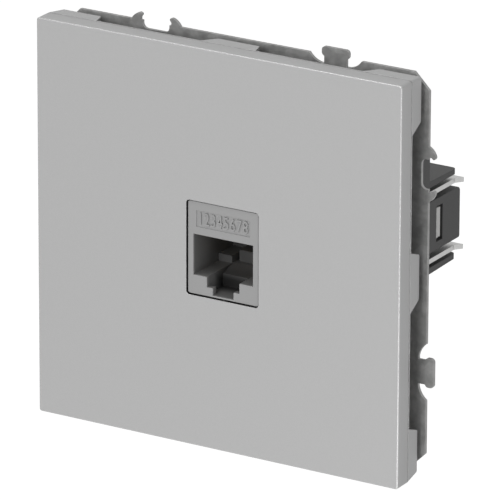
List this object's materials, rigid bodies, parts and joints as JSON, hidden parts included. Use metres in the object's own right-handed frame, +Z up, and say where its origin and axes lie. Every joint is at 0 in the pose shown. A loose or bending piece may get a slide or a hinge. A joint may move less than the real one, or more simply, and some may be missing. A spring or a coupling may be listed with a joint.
{
  "type": "flush wall data socket",
  "caption": "Flush wall data socket: square grey cover plate, eight-way jack, stamped steel frame with gang lugs, dark housing and screw-drawn spreader claws.",
  "frame": {"origin": "middle of the frame's two wall box screw slots, on the wall surface, which is the back face of the steel frame", "axes": "+Z up, +Y into the wall, +X to the right as seen from the front; the cover faces -Y"},
  "size_m": [0.0738, 0.0397, 0.0728],
  "materials": {
    "cover": "satin aluminium-grey moulded plastic",
    "frame_steel": "dull galvanised sheet",
    "dark_plastic": "fine moulded texture",
    "jack_plastic": "satin grey moulded plastic",
    "carrier_plastic": "moulded",
    "gold_contact": "gold plated",
    "board": "lacquered laminate",
    "terminal_plastic": "moulded",
    "blade_metal": "tinned bronze",
    "cap_plastic": "moulded",
    "zinc": "bright zinc plate",
    "pin_steel": "plain steel"
  },
  "bodies": {
    "mechanism": {"steel_frame": "frame_steel", "mechanism_housing": "dark_plastic", "jack_holder": "dark_plastic", "jack_body": "jack_plastic", "contact_carrier": "carrier_plastic", "jack_contacts": "gold_contact", "jack_board": "board", "terminal_block": "terminal_plastic", "terminal_blades": "blade_metal", "frame_screws": "zinc", "claw_pin_right": "pin_steel", "claw_pin_left": "pin_steel", "guide_plate_right": "zinc", "guide_plate_left": "zinc"},
    "cover": {"cover_plate": "cover"},
    "terminal_cap": {"terminal_cap": "cap_plastic"},
    "claw_right": {"claw_right": "zinc"},
    "claw_left": {"claw_left": "zinc"},
    "claw_screw_right": {"claw_screw_right": "zinc"},
    "claw_screw_left": {"claw_screw_left": "zinc"},
    "claw_nut_right": {"claw_nut_right": "zinc"},
    "claw_nut_left": {"claw_nut_left": "zinc"}
  },
  "joints": [
    {"name": "cover_pull", "type": "slide", "parent": "mechanism", "child": "cover", "axis": [0, -1, 0], "range_m": [0, 0.012]},
    {"name": "cap_pull", "type": "slide", "parent": "mechanism", "child": "terminal_cap", "axis": [0, 1, 0], "range_m": [0, 0.009]},
    {"name": "claw_right_swing", "type": "hinge", "parent": "mechanism", "child": "claw_right", "pos_m": [0.0142, 0.00743, 0], "axis": [0, 0, -1], "range_deg": [0, 24]},
    {"name": "claw_screw_right_turn", "type": "hinge", "parent": "mechanism", "child": "claw_screw_right", "pos_m": [0.019, 0, 0], "axis": [0, 1, 0], "range_deg": [0, 600]},
    {"name": "claw_nut_right_travel", "type": "slide", "parent": "mechanism", "child": "claw_nut_right", "axis": [0, -1, 0], "range_m": [0, 0.001]},
    {"name": "claw_left_swing", "type": "hinge", "parent": "mechanism", "child": "claw_left", "pos_m": [-0.0142, 0.00743, 0], "axis": [0, 0, 1], "range_deg": [0, 24]},
    {"name": "claw_screw_left_turn", "type": "hinge", "parent": "mechanism", "child": "claw_screw_left", "pos_m": [-0.019, 0, 0], "axis": [0, 1, 0], "range_deg": [0, 600]},
    {"name": "claw_nut_left_travel", "type": "slide", "parent": "mechanism", "child": "claw_nut_left", "axis": [0, -1, 0], "range_m": [0, 0.001]}
  ],
  "couplings": [
    {"joint": "claw_screw_right_turn", "follows": "claw_right_swing", "ratio": 25},
    {"joint": "claw_nut_right_travel", "follows": "claw_right_swing", "m_per_rad": 0.002387},
    {"joint": "claw_screw_left_turn", "follows": "claw_left_swing", "ratio": 25},
    {"joint": "claw_nut_left_travel", "follows": "claw_left_swing", "m_per_rad": 0.002387}
  ]
}
